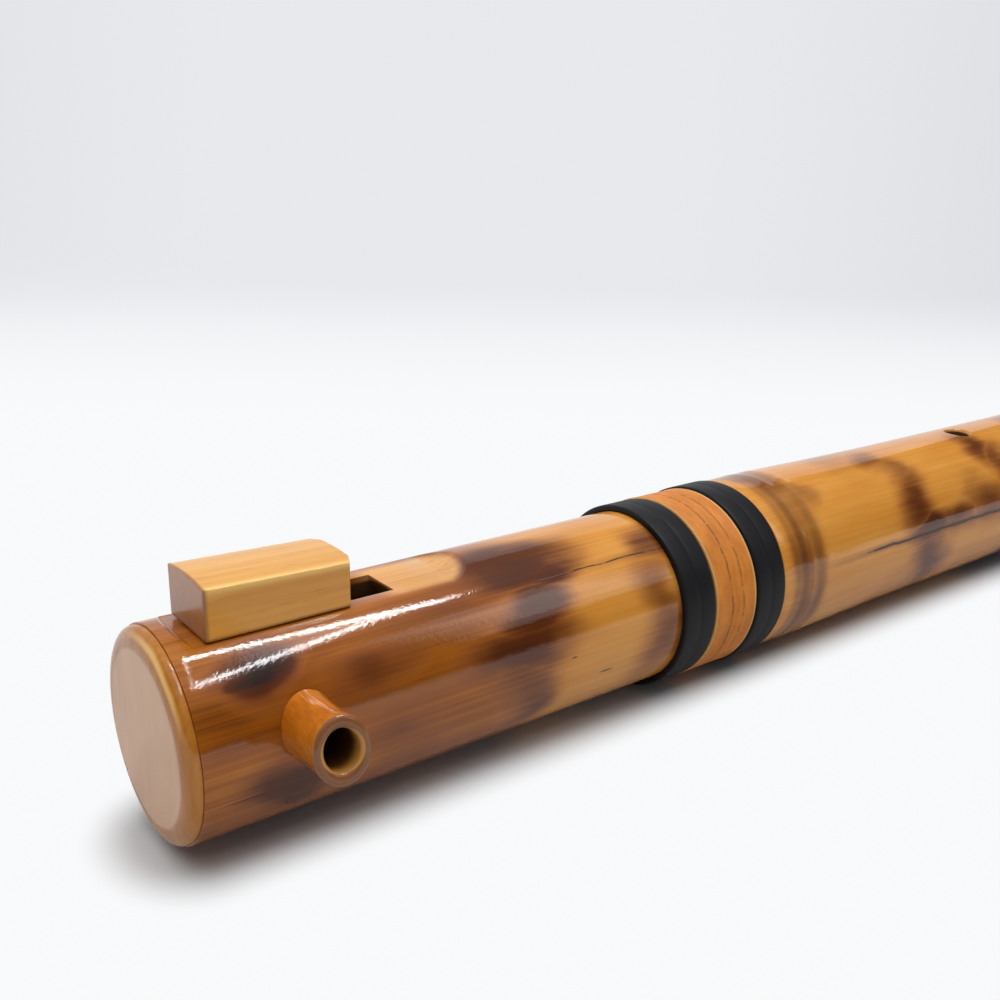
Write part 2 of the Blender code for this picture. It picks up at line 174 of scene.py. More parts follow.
# Lamps: name, place, target, size, power and the direction of the long side.
# The first list lights the flute, and the second only shows in its gloss.
FILL_PANELS = [
    ("top_panel", (0.15, 0.0, 1.30), (0.15, 0.0, 0.0), (2.6, 2.2), 26.0, (1.0, 0.0, 0.0)),
    ("side_fill", (-0.20, -1.20, 0.75), (0.15, 0.0, 0.0), (1.2, 0.8), 1.0, (1.0, 0.0, 0.0)),
]
GLOSS_PANELS = [
    ("window_wide", (0.58, -0.44, 0.50), (0.12, 0.0, 0.02), (0.26, 0.42), 0.38, (0.25, 0.11, 0.0)),
    ("window_core", (0.57, -0.43, 0.49), (0.12, 0.0, 0.02), (0.15, 0.26), 0.16, (0.25, 0.11, 0.0)),
    ("strip_lengthwise", (0.254, -0.0065, 0.50), (0.04, 0.0, 0.0), (0.226, 0.025), 0.70,
     (0.267, -0.131, 0.0)),
    ("strip_front", (0.239, -0.162, 0.50), (0.04, 0.0, 0.0), (0.26, 0.020), 0.50, (0.135, 0.196, 0.0)),
    ("strip_end", (0.142, -0.112, 0.50), (0.01, 0.0, 0.0), (0.30, 0.006), 0.16, (0.02, 1.0, 0.0)),
    ("strip_between", (0.240, -0.062, 0.50), (0.04, 0.0, 0.0), (0.15, 0.075), 0.092, (0.02, -0.17, 0.0)),
]

# Burnt patches: place along the flute, angle, half length and half breadth in metres, darkness
HEAD_PATCHES = [
    (0.0222, 40, 0.0062, 0.0050, 1.00), (0.0190, 47, 0.0085, 0.0055, 0.60),
    (0.0485, 29, 0.0110, 0.0054, 0.52), (0.0220, -18, 0.0110, 0.0070, 0.88),
    (0.0500, -6, 0.0130, 0.0075, 0.46), (0.0700, 55, 0.0150, 0.0050, 0.42),
    (0.0560, -32, 0.0200, 0.0100, 0.40), (0.0950, 72, 0.0200, 0.0085, 0.84),
    (0.1030, 61, 0.0125, 0.0060, 0.76), (0.0970, 36, 0.0105, 0.0110, 0.76),
    (0.0895, 12, 0.0165, 0.0062, 0.70), (0.0915, -5, 0.0095, 0.0130, 0.54),
    (0.0760, 30, 0.0110, 0.0060, 0.34), (0.1120, 62, 0.0070, 0.0050, 0.34),
    (0.1470, 60, 0.0090, 0.0085, 0.68), (0.1410, 4, 0.0090, 0.0190, 0.52),
    (0.0925, -23, 0.0085, 0.0085, 0.58), (0.0880, 150, 0.0200, 0.0200, 0.75),
    (0.0300, -122, 0.0160, 0.0240, 0.75), (0.1360, -102, 0.0180, 0.0200, 0.60),
    (0.0400, 172, 0.0120, 0.0140, 0.80), (0.1320, 176, 0.0120, 0.0160, 0.60),
    (0.0850, -80, 0.0120, 0.0160, 0.55),
]
BODY_PATCHES = [
    (0.2085, 60, 0.0075, 0.0065, 0.50), (0.1990, 80, 0.0070, 0.0085, 0.52),
    (0.2010, 18, 0.0050, 0.0090, 0.42), (0.2010, -20, 0.0050, 0.0100, 0.40),
    (0.2610, 82, 0.0068, 0.0085, 0.46), (0.2650, 60, 0.0078, 0.0100, 0.48),
    (0.2670, 36, 0.0110, 0.0115, 0.58), (0.2720, 14, 0.0120, 0.0060, 0.78),
    (0.2890, 13, 0.0135, 0.0054, 0.66), (0.2715, -16, 0.0120, 0.0130, 0.64),
    (0.3190, 66, 0.0072, 0.0095, 0.56), (0.3260, 48, 0.0072, 0.0095, 0.54),
    (0.3100, 20, 0.0130, 0.0076, 0.56), (0.2480, 178, 0.0180, 0.0300, 0.75),
    (0.3480, -72, 0.0200, 0.0250, 0.75), (0.3680, 68, 0.0110, 0.0160, 0.70),
    (0.4180, 158, 0.0160, 0.0260, 0.80), (0.4430, 28, 0.0110, 0.0260, 0.75),
    (0.4980, -52, 0.0150, 0.0220, 0.75), (0.5280, 88, 0.0120, 0.0200, 0.70),
    (0.5780, 178, 0.0180, 0.0260, 0.80), (0.6080, 18, 0.0130, 0.0220, 0.80),
    (0.6680, -92, 0.0160, 0.0260, 0.75), (0.6880, 78, 0.0120, 0.0260, 0.80),
    (0.3280, -142, 0.0130, 0.0180, 0.60), (0.6430, 148, 0.0120, 0.0180, 0.60),
    (0.4700, 110, 0.0090, 0.0140, 0.55),
]
# Small dark marks in the bamboo: place along the flute, angle, half length and half breadth
HEAD_MARKS = [(0.1182, -15, 0.0024, 0.00026), (0.1058, 2, 0.0010, 0.00022), (0.0120, -17, 0.0050, 0.00012)]
# Long shallow cracks: angle, start, end and half width
HEAD_CRACKS = [(52, 0.100, 0.158, 0.00014)]
BODY_CRACKS = [(8.5, 0.188, 0.700, 0.00030), (171, 0.300, 0.640, 0.00024)]
# Brown lines round each node: offset along the flute, half width and strength
NODE_LINES = [
    (-0.0078, 0.0009, 0.34), (-0.0036, 0.0012, 0.70), (-0.0008, 0.0006, 0.30), (0.0040, 0.0016, 0.66),
]
# Where cut surfaces start to show bare wood: past the block, on the bed and on the tubes' ends
BARE_FROM = 0.0560
BARE_FULLY_FROM = 0.0640
# Where the deep tone near the cap ends, and how softly. On the body it ends before the body starts.
HEAD_DEEP_UNTIL = 0.092
BODY_DEEP_UNTIL = -0.1
DEEP_FADE = 0.016

AMBER = (0.680, 0.262, 0.031)
LIGHT_AMBER = (0.800, 0.360, 0.070)
HONEY_BROWN = (0.360, 0.098, 0.005)
MAHOGANY = (0.115, 0.027, 0.005)
CHARRED = (0.026, 0.010, 0.006)
SCORCHED = (0.330, 0.100, 0.022)
NODE_HAZE = (0.240, 0.078, 0.018)
NODE_BROWN = (0.085, 0.024, 0.008)
CRACK_BROWN = (0.170, 0.052, 0.012)
CRACK_DARK = (0.035, 0.010, 0.003)
CUT_WOOD = (0.920, 0.490, 0.165)
CUT_DARK = (0.640, 0.290, 0.080)
# Painted shade for the inside of the bore and the holes
BORE_SHADE_BROWN = (0.050, 0.018, 0.005)


class Value:
    """A shader output that takes part in plain arithmetic."""

    def __init__(self, finish, socket):
        self.finish = finish
        self.socket = socket

    def _math(self, operation, *others):
        inputs = dict(enumerate((self, *others)))
        return self.finish.node("ShaderNodeMath", {"operation": operation}, inputs)

    def __add__(self, other):
        return self._math("ADD", other)

    def __sub__(self, other):
        return self._math("SUBTRACT", other)

    def __mul__(self, other):
        return self._math("MULTIPLY", other)

    def __truediv__(self, other):
        return self._math("DIVIDE", other)

    def __pow__(self, other):
        return self._math("POWER", other)

    def __rsub__(self, other):
        return self.finish.node("ShaderNodeMath", {"operation": "SUBTRACT"}, {0: other, 1: self})

    __radd__ = __add__
    __rmul__ = __mul__

    def larger(self, other):
        return self._math("MAXIMUM", other)

    def smaller(self, other):
        return self._math("MINIMUM", other)

    def sine(self):
        return self._math("SINE")

    def size(self):
        return self._math("ABSOLUTE")


class Finish:
    """A material whose nodes are added by plain calls."""

    def __init__(self, name, specular):
        self.material = bpy.data.materials.new(name)
        self.material.use_nodes = True
        self.tree = self.material.node_tree
        self.shader = self.tree.nodes["Principled BSDF"]
        self.set("Specular IOR Level", specular)

    def set(self, socket, value):
        self._feed(self.shader.inputs[socket], value)

    def _feed(self, socket, value):
        if isinstance(value, Value):
            self.tree.links.new(value.socket, socket)
        else:
            socket.default_value = value

    def node(self, kind, settings=None, inputs=None, output=0):
        node = self.tree.nodes.new(kind)
        for name, value in (settings or {}).items():
            if name == "stops":
                self._set_stops(node.color_ramp, value)
            else:
                setattr(node, name, value)
        for name, value in (inputs or {}).items():
            self._feed(node.inputs[name], value)
        return Value(self, node.outputs[output])

    @staticmethod
    def _set_stops(ramp, stops):
        while len(ramp.elements) < len(stops):
            ramp.elements.new(0.5)
        for element, (position, colour) in zip(ramp.elements, stops):
            element.position = position
            element.color = (*colour, 1.0)

    def place(self):
        """The point on the piece, in metres."""
        return self.node("ShaderNodeTexCoord", output="Object")

    def split(self, vector, axes):
        return [self.node("ShaderNodeSeparateXYZ", None, {0: vector}, axis) for axis in axes]

    def vector(self, operation, first, second, output=0):
        return self.node("ShaderNodeVectorMath", {"operation": operation}, {0: first, 1: second}, output)

    def stretched(self, vector, scales):
        return self.vector("MULTIPLY", vector, scales)

    def length(self, vector):
        return self.vector("LENGTH", vector, (0, 0, 0), output=1)

    def from_axis(self, place):
        """Distance from the flute's axis."""
        return self.length(self.stretched(place, (0.0, 1.0, 1.0)))

    def noise(self, vector, scale, detail, roughness, distortion=0.0, output=0):
        inputs = {"Vector": vector, "Scale": scale, "Detail": detail, "Roughness": roughness,
                  "Distortion": distortion}
        return self.node("ShaderNodeTexNoise", None, inputs, output)

    def grain(self, place, scales, detail, roughness, distortion=0.0):
        """Noise from 0 to 1 with its own scale along each axis."""
        return self.noise(self.stretched(place, scales), 1.0, detail, roughness, distortion)

    def drift(self, place, scales, detail, roughness, reach):
        """An offset that wanders with noise and spans the given reach along each axis."""
        cloud = self.noise(self.stretched(place, scales), 1.0, detail, roughness, output=1)
        return self.stretched(self.vector("SUBTRACT", cloud, (0.5, 0.5, 0.5)), reach)

    def between(self, value, low, high):
        """0 below low, 1 above high, and the other way round where low is the larger."""
        settings = {"interpolation_type": "SMOOTHSTEP", "clamp": True}
        return self.node("ShaderNodeMapRange", settings, {"Value": value, "From Min": low, "From Max": high})

    def ramp(self, value, stops):
        return self.node("ShaderNodeValToRGB", {"stops": stops}, {"Fac": value})

    def blend(self, factor, first, second):
        colours = {0: factor, 6: self._opaque(first), 7: self._opaque(second)}
        return self.node("ShaderNodeMix", {"data_type": "RGBA"}, colours, output=2)

    @staticmethod
    def _opaque(colour):
        return (*colour, 1.0) if isinstance(colour, tuple) else colour

    def spot(self, place, centre, half_length, half_breadth, outer, inner):
        """1 inside a patch on the tube, falling to 0 round it."""
        gap = self.vector("SUBTRACT", place, centre)
        gap = self.stretched(gap, (1 / half_length, 1 / half_breadth, 1 / half_breadth))
        return self.between(self.length(gap), outer, inner)

    def bump(self, height, depth):
        """Raise the surface by height, which runs from 0 to 1, times depth in metres."""
        inputs = {"Strength": 1.0, "Distance": depth, "Height": height}
        self.set("Normal", self.node("ShaderNodeBump", None, inputs))


def largest(masks):
    """The largest of some masks at each point."""
    result = masks[0]
    for mask in masks[1:]:
        result = result.larger(mask)
    return result


def round_place(x, angle_deg, radius):
    """A point on a tube. The angle runs from the mouthpiece's side up towards the block's."""
    angle = math.radians(angle_deg)
    return (x, -radius * math.cos(angle), radius * math.sin(angle))


def burnt_patches(finish, place, patches, radius):
    """How deeply a flame has burnt each point, with edges that wander and fray along the fibres."""
    drift = finish.drift(place, (34.0, 66.0, 66.0), 2.5, 0.42, (0.027, 0.017, 0.017))
    wisp = finish.drift(place, (16.0, 620.0, 620.0), 3.0, 0.6, (0.004, 0.0, 0.0))
    wandering = finish.vector("ADD", finish.vector("ADD", place, drift), wisp)
    burns = []
    for along, angle, half_length, half_breadth, darkness in patches:
        centre = round_place(along, angle, radius)
        burns.append(finish.spot(wandering, centre, half_length, half_breadth, 2.15, 0.0) * darkness)
    return largest(burns)


def brown_nodes(finish, colour, x, cloud, nodes):
    """Brown lines round the bamboo at each node, in a broader haze."""
    for node in nodes:
        off = x - node + (cloud - 0.5) * 0.0016
        haze = finish.between((off + 0.0010).size(), 0.0110, 0.0030) * 0.66 * (0.25 + cloud * 1.4)
        colour = finish.blend(haze, colour, NODE_HAZE)
        for middle, half, strength in NODE_LINES:
            line = finish.between((off - middle).size(), half * 2.4, half * 0.2) * strength
            colour = finish.blend(line * (cloud * 2.0 - 0.25).smaller(1.0), colour, NODE_BROWN)
    return colour


def crack_traces(finish, colour, place, x, radius, cracks):
    """Long cracks that sway and break off. Returns the colour, browned beside them, and their traces."""
    sway = finish.drift(place, (55.0, 0.0, 0.0), 3.0, 0.6, (0.0, 0.0022, 0.0022))
    swaying = finish.vector("ADD", place, sway)
    thick = finish.grain(place, (30.0, 0.0, 0.0), 3.0, 0.7)
    traces = []
    for angle, start, end, half_width in cracks:
        gap = finish.from_axis(finish.vector("SUBTRACT", swaying, round_place(0.0, angle, radius)))
        growing = 0.45 + finish.between(x, start, start + 0.10) * 0.85
        beyond = gap - growing * half_width * (0.4 + thick * 1.2)
        ending = finish.between(x, end, end - 0.02)
        halo = finish.between(beyond, 0.0018, 0.0) * finish.between(x, start, start + 0.05) * ending
        colour = finish.blend(halo * 0.55, colour, CRACK_BROWN)
        starting = finish.between(x, start - 0.001, start + 0.004)
        trace = finish.between(beyond, 0.00026, 0.0) * starting * ending
        traces.append(trace * finish.between(thick, 0.16, 0.30))
    return colour, traces


def bamboo(name, patches, radius, deep_until, marks, cracks, nodes=()):
    """Lacquered bamboo: long fibres under a hard gloss, with patches burnt by a flame."""
    finish = Finish(name, 0.45)
    place = finish.place()
    [x] = finish.split(place, "X")
    reach = finish.from_axis(place)
    fibre = finish.grain(place, (12.0, 1300.0, 1300.0), 4.0, 0.6)
    hair = finish.grain(place, (40.0, 3200.0, 3200.0), 2.0, 0.6)
    broad = finish.grain(place, (9.0, 240.0, 240.0), 3.0, 0.5)
    cloud = finish.grain(place, (26.0, 55.0, 55.0), 2.0, 0.5)

    deep = finish.between(x + (cloud - 0.5) * 0.02, deep_until + DEEP_FADE, deep_until - DEEP_FADE) * 0.56
    tone = deep + (cloud - 0.5) * 0.55 + (broad - 0.5) * 0.45
    tone = tone + (fibre - 0.5) * 0.40 + (hair - 0.5) * 0.16 + 0.17
    ground = finish.ramp(tone, [(0.0, LIGHT_AMBER), (0.30, AMBER), (0.72, HONEY_BROWN), (1.0, MAHOGANY)])
    burn = burnt_patches(finish, place, patches, radius)
    shade = burn + (fibre - 0.5) * burn * 0.30 + (cloud - 0.5) * burn * 0.6
    scorch = finish.ramp(shade, [(0.0, AMBER), (0.28, SCORCHED), (0.62, MAHOGANY), (1.0, CHARRED)])
    colour = finish.blend(finish.between(shade, 0.0, 0.62), ground, scorch)

    colour = brown_nodes(finish, colour, x, cloud, nodes)
    colour, hollows = crack_traces(finish, colour, place, x, radius, cracks)
    for along, angle, half_length, half_breadth in marks:
        centre = round_place(along, angle, radius)
        hollows.append(finish.spot(place, centre, half_length, half_breadth, 1.3, 0.7))
    hollow = largest(hollows)
    colour = finish.blend(hollow * 0.92, colour, CRACK_DARK)

    cut = finish.between(reach, radius - 0.00012, radius - 0.00130)
    cut = cut * finish.between(x, BARE_FROM, BARE_FULLY_FROM)
    bare = finish.ramp(fibre * 0.55 + broad * 0.45, [(0.34, CUT_WOOD), (0.68, CUT_DARK)])
    colour = finish.blend(cut * 0.92, colour, bare)
    # Painted shade: the bore, the hollow under the bed and the finger holes' walls are darkened to near black
    if nodes:
        hole_walls = finish.between(reach, radius - 0.0005, radius - 0.0014)
        hole_walls = hole_walls * finish.between(x, BODY_HIGH.x - 0.0030, BODY_HIGH.x - 0.0060)
        inside = finish.between(reach, BORE_R + 0.0006, BORE_R + 0.0001).larger(hole_walls)
    else:
        inside = finish.between(reach, BED_HEIGHT - 0.0003, BED_HEIGHT - 0.0012)
    finish.set("Base Color", finish.blend(inside * 0.92, colour, BORE_SHADE_BROWN))
    finish.set("Roughness", 0.068 + inside * 0.5 + cut * 0.04 + (cloud - 0.3).larger(0.0) * 0.05)
    ripple = finish.grain(place, (90.0, 320.0, 320.0), 2.0, 0.5)
    peel = finish.noise(place, 1000.0, 2.0, 0.5)
    finish.bump(ripple * 0.34 + peel * 0.42 + fibre * 0.10 - hollow * 1.6, 0.00006)
    return finish.material


def rubber():
    """Black elastic: nearly matt, faintly ribbed round the flute and dusty in clouds."""
    black, grey = (0.0035, 0.0035, 0.0042), (0.009, 0.009, 0.011)
    finish = Finish("band_rubber", 0.22)
    place = finish.place()
    cloud = finish.grain(place, (120.0, 60.0, 60.0), 3.0, 0.6)
    speck = finish.noise(place, 2200.0, 2.0, 0.6)
    ribs = finish.grain(place, (2600.0, 30.0, 30.0), 1.0, 0.4)
    finish.set("Base Color", finish.ramp(cloud * 0.6 + ribs * 0.4, [(0.3, black), (0.7, grey)]))
    finish.set("Roughness", 0.42 + cloud * 0.16)
    finish.bump(ribs * 0.6 + speck * 0.4, 0.00004)
    return finish.material


def leather():
    """Tan leather strip: pebbled grain, two worn creases round it and pale cut edges."""
    pale_tan, tan, deep_tan = (0.84, 0.300, 0.045), (0.67, 0.218, 0.029), (0.50, 0.148, 0.018)
    crease_brown, cut_edge = (0.150, 0.042, 0.009), (0.78, 0.43, 0.15)
    finish = Finish("wrap_leather", 0.25)
    place = finish.place()
    [x] = finish.split(place, "X")
    share = (x - WRAP_LOW.x) / (WRAP_HIGH.x - WRAP_LOW.x)
    cloud = finish.grain(place, (150.0, 80.0, 80.0), 3.0, 0.6)
    pores = finish.grain(place, (1700.0, 1000.0, 1000.0), 3.0, 0.65)
    wander = finish.grain(place, (4.0, 70.0, 70.0), 3.0, 0.6)
    scuff = finish.grain(place, (900.0, 190.0, 190.0), 3.0, 0.7)
    broken = finish.between(finish.grain(place, (90.0, 420.0, 420.0), 3.0, 0.7), 0.36, 0.54)
    lines = [finish.between((share - middle + (wander - 0.5) * 0.16).size(), 0.034, 0.004) * broken * depth
             for middle, depth in ((0.38, 1.0), (0.66, 0.8), (0.52, 0.15))]
    crease = largest(lines)
    rim = finish.between((share - 0.485).size(), 0.445, 0.475)
    tones = [(0.32, pale_tan), (0.52, tan), (0.70, deep_tan)]
    body = finish.ramp(cloud * 0.55 + pores * 0.20 + scuff * 0.25, tones)
    body = finish.blend(crease * 0.62, body, crease_brown)
    finish.set("Base Color", finish.blend(rim * 0.85, body, cut_edge))
    finish.set("Roughness", 0.46 + cloud * 0.2)
    finish.bump(pores * 0.5 + scuff * 0.3 - crease * 0.9, 0.00014)
    return finish.material


def wood_grain(name, light, dark, roughness, coat, grain_along, figure):
    """Straight-grained wood with fine pores and a broader figure. Its colour is still to be set."""
    finish = Finish(name, 0.3)
    finish.set("Coat Weight", coat)
    finish.set("Coat Roughness", 0.12)
    place = finish.place()
    fibre = finish.grain(place, grain_along, 5.0, 0.65)
    broad = finish.grain(place, figure, 3.0, 0.55, 0.6)
    colour = finish.ramp(fibre * 0.45 + broad * 0.55, [(0.34, light), (0.66, dark)])
    finish.set("Roughness", roughness - 0.06 + fibre * 0.12)
    finish.bump(fibre, 0.00003)
    return finish, place, colour, fibre


def plain_wood():
    """Sanded wood for the pieces inside."""
    finish, _, colour, _ = wood_grain(
        "plain_wood", (0.64, 0.45, 0.26), (0.48, 0.31, 0.16), roughness=0.6, coat=0.0,
        grain_along=(10.0, 420.0, 420.0), figure=(5.0, 90.0, 90.0))
    finish.set("Base Color", colour)
    return finish.material


def block_wood():
    """Oiled hardwood: dark flecks, redder end grain, a painted highlight on the upper edges and painted shade
    on the upright edge and foot.
    """
    fleck_brown, edge_highlight_gold = (0.300, 0.110, 0.018), (1.0, 0.640, 0.190)
    end_red, upright_edge_shade, foot_shade_dark = (0.330, 0.120, 0.055), (0.300, 0.120, 0.020), (0.120, 0.040, 0.008)
    finish, place, colour, fibre = wood_grain(
        "block_wood", (0.92, 0.458, 0.074), (0.68, 0.282, 0.034), roughness=0.36, coat=0.5,
        grain_along=(22.0, 620.0, 620.0), figure=(5.0, 70.0, 70.0))
    x, y, z = finish.split(place, "XYZ")
    fleck = finish.grain(place, (130.0, 2300.0, 2300.0), 3.0, 0.7)
    colour = finish.blend(finish.between(fleck, 0.60, 0.74) * 0.45, colour, fleck_brown)

    back = x - BLOCK_LOW.x
    beside = BLOCK_HIGH.y - y.size()
    under = BLOCK_HIGH.z - BLOCK_CROWN - back * (BLOCK_FALL / (BLOCK_HIGH.x - BLOCK_LOW.x)) - z
    upper_edge = (beside * beside + under * under) ** 0.5
    # Painted highlight: a golden band along the rounded upper edges, where the overhead light would catch
    painted_edge_highlight = finish.between(upper_edge + (fibre - 0.5) * 0.0006, 0.0017, 0.0004)
    colour = finish.blend(painted_edge_highlight * 0.75, colour, edge_highlight_gold)
    colour = finish.blend(finish.between(back, 0.0009, 0.0002) * 0.75, colour, end_red)
    # Painted shade: a darker band down the rounded upright near edge
    upright_edge = (beside * beside + back * back) ** 0.5
    colour = finish.blend(finish.between(upright_edge, 0.0014, 0.0003) * 0.55, colour, upright_edge_shade)
    # Painted shade: a dark line along the foot, where the block meets the bed
    foot = finish.between(z - BLOCK_LOW.z + (fibre - 0.5) * 0.0008, 0.0011, 0.0001)
    finish.set("Base Color", finish.blend(foot * 0.70, colour, foot_shade_dark))
    return finish.material


def cap_wood():
    """Turned wood: a pale flat face with faint turning rings, and an amber rounded edge with a painted
    highlight on its upper side.
    """
    pale_face, tan_face = (0.86, 0.540, 0.340), (0.72, 0.430, 0.260)
    amber_edge, brown_edge, painted_highlight_gold = (0.62, 0.250, 0.036), (0.38, 0.125, 0.012), (1.0, 0.600, 0.190)
    finish = Finish("cap_wood", 0.42)
    place = finish.place()
    y, z = finish.split(place, "YZ")
    reach = finish.from_axis(place)
    fibre = finish.grain(place, (300.0, 420.0, 30.0), 4.0, 0.6)
    cloud = finish.grain(place, (60.0, 55.0, 35.0), 3.0, 0.5, 0.4)
    turning = (reach * 5200.0 + cloud * 3.0).sine()
    face = finish.ramp(fibre * 0.25 + cloud * 0.75, [(0.34, pale_face), (0.66, tan_face)])
    edge = finish.ramp(fibre * 0.5 + cloud * 0.5, [(0.34, amber_edge), (0.66, brown_edge)])
    # Painted highlight: a golden band along the upper part of the rounded edge, where the light would glint
    painted_highlight = finish.between((reach + (cloud - 0.5) * 0.0010 - 0.0241).size(), 0.0011, 0.0001)
    painted_highlight = painted_highlight * finish.between(z, 0.0080, 0.0190) * finish.between(y, 0.0120, -0.0060)
    edge = finish.blend(painted_highlight * 0.80, edge, painted_highlight_gold)
    rounding = finish.between(reach + (cloud - 0.5) * 0.0015, 0.0200, 0.0216)
    finish.set("Base Color", finish.blend(rounding, face, edge))
    finish.set("Roughness", 0.34 - rounding * 0.22 + fibre * 0.06)
    finish.bump(fibre * 0.5 + turning * 0.12 + cloud * 0.5, 0.00004)
    return finish.material


def mouthpiece_bamboo():
    """Thin lacquered cane: deep amber outside, greyish brown at the rim, and painted shade that darkens the
    bore away from the rim.
    """
    amber, deep_amber, red_brown = (0.74, 0.250, 0.022), (0.58, 0.165, 0.010), (0.34, 0.080, 0.004)
    rim_brown, bore_shade_dark, bore_pale = (0.200, 0.085, 0.036), (0.090, 0.036, 0.008), (0.560, 0.270, 0.065)
    finish = Finish("mouthpiece_cane", 0.45)
    place = finish.place()
    axis = mouth_axis()
    along = finish.vector("DOT_PRODUCT", place, tuple(axis), output=1) - axis.x * MOUTH_X
    from_foot = finish.length(finish.vector("SUBTRACT", place, (MOUTH_X, 0.0, 0.0)))
    radial = (from_foot ** 2.0 - along * along).larger(0.0) ** 0.5
    fibre = finish.grain(place, (900.0, 30.0, 900.0), 4.0, 0.6)
    cloud = finish.grain(place, (110.0, 60.0, 110.0), 2.0, 0.5)
    skin = finish.ramp(fibre * 0.35 + cloud * 0.65, [(0.32, amber), (0.50, deep_amber), (0.70, red_brown)])
    rim = finish.between(along, MOUTH_REACH - 0.0012, MOUTH_REACH - 0.0003)
    skin = finish.blend(rim * 0.85, skin, rim_brown)
    inside = finish.between(radial, MOUTH_BORE_R * 1.06, MOUTH_BORE_R * 0.99)
    # Painted shade: the bore wall darkens from pale near the rim to dark deeper in
    near_rim = finish.between(along, MOUTH_REACH - 0.0065, MOUTH_REACH - 0.0010)
    wall = finish.blend(near_rim, bore_shade_dark, bore_pale)
    finish.set("Base Color", finish.blend(inside * 0.95, skin, wall))
    finish.set("Roughness", 0.08 + fibre * 0.05 + inside * 0.25)
    finish.bump(fibre * 0.5 + cloud * 0.5, 0.00005)
    return finish.material


def cork():
    """Pressed cork: pale grains with small dark pits."""
    pale_grain, brown_grain, pit_dark = (0.56, 0.36, 0.19), (0.40, 0.23, 0.10), (0.14, 0.07, 0.03)
    finish = Finish("cork", 0.2)
    place = finish.place()
    grains = finish.noise(place, 700.0, 3.0, 0.6)
    pits = finish.between(finish.noise(place, 1300.0, 2.0, 0.5), 0.62, 0.70)
    colour = finish.ramp(grains, [(0.35, pale_grain), (0.65, brown_grain)])
    finish.set("Base Color", finish.blend(pits * 0.7, colour, pit_dark))
    finish.set("Roughness", 0.80 + grains * 0.1)
    finish.bump(grains - pits * 0.8, 0.0001)
    return finish.material


def mouth_axis():
    """The way the mouthpiece points: out to the player's side, leaning to the cap and tilted up."""
    lean, tilt = math.radians(MOUTH_LEAN_DEG), math.radians(MOUTH_TILT_DEG)
    return Vector((-math.sin(lean), -math.cos(lean) * math.cos(tilt), math.cos(lean) * math.sin(tilt)))


def arc(centre_x, centre_r, half_x, half_r, start_deg, end_deg, steps):
    """Profile points along an elliptical arc, the angle running from +X towards the outside."""
    angles = [math.radians(start_deg + (end_deg - start_deg) * step / steps) for step in range(steps + 1)]
    return [(centre_x + half_x * math.cos(angle), centre_r + half_r * math.sin(angle)) for angle in angles]


def only(piece):
    """Select one piece and nothing else."""
    bpy.ops.object.select_all(action="DESELECT")
    bpy.context.view_layer.objects.active = piece
    piece.select_set(True)


def turned_piece(name, profile, sides=ROUND_SIDES, solid=False):
    """Extrude and scale one circle along a profile of (x, radius) points, as on a lathe."""
    bpy.ops.object.select_all(action="DESELECT")
    start_x, start_r = profile[0]
    fill = "NGON" if solid else "NOTHING"
    bpy.ops.mesh.primitive_circle_add(vertices=sides, radius=start_r, location=(start_x, 0.0, 0.0),
                                      rotation=(0.0, math.pi / 2, 0.0), fill_type=fill)
    piece = bpy.context.object
    piece.name = name
    bpy.ops.object.transform_apply(location=True, rotation=True, scale=True)
    bpy.ops.object.mode_set(mode="EDIT")
    bpy.ops.mesh.select_mode(type="VERT")
    bpy.ops.mesh.select_all(action="SELECT")
    path = profile if solid else profile + [profile[0]]
    for (x, radius), (next_x, next_radius) in zip(path, path[1:]):
        bpy.ops.mesh.extrude_region_move(TRANSFORM_OT_translate={"value": (next_x - x, 0.0, 0.0)})
        growth = next_radius / radius
        bpy.ops.transform.resize(value=(1.0, growth, growth), center_override=(next_x, 0.0, 0.0))
    bpy.ops.mesh.select_all(action="SELECT")
    bpy.ops.mesh.remove_doubles(threshold=1e-6)
    bpy.ops.mesh.normals_make_consistent(inside=False)
    bpy.ops.object.mode_set(mode="OBJECT")
    return piece


def finish_piece(piece, material, body, node):
    """Give a piece its finish and its body, and hide the CAD node that it stands for."""
    piece.data.materials.clear()
    piece.data.materials.append(material)
    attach(piece, body)
    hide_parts(node)


def smooth(piece, angle_deg):
    """Shade a piece smooth, apart from edges sharper than an angle."""
    only(piece)
    bpy.ops.object.shade_smooth_by_angle(angle=math.radians(angle_deg))


def apply_change(piece, kind, **settings):
    """Add a modifier with its settings and apply it."""
    only(piece)
    change = piece.modifiers.new(kind.lower(), kind)
    for name, value in settings.items():
        setattr(change, name, value)
    bpy.ops.object.modifier_apply(modifier=change.name)


def bevel(piece, width, segments):
    """Round the sharp edges of a piece."""
    apply_change(piece, "BEVEL", width=width, segments=segments, limit_method="ANGLE",
                 angle_limit=math.radians(SHARP_DEG))


def combine(piece, shape, operation="DIFFERENCE"):
    """Cut a shape out of a piece, or keep what both share, and drop the shape."""
    apply_change(piece, "BOOLEAN", operation=operation, solver="EXACT", object=shape)
    bpy.data.objects.remove(shape, do_unlink=True)


def box_shape(low, high):
    """A box between two corners."""
    bpy.ops.object.select_all(action="DESELECT")
    size = [top - bottom for bottom, top in zip(low, high)]
    middle = [(top + bottom) / 2 for bottom, top in zip(low, high)]
    bpy.ops.mesh.primitive_cube_add(size=1.0, location=middle, scale=size)
    bpy.ops.object.transform_apply(location=True, rotation=True, scale=True)
    return bpy.context.object


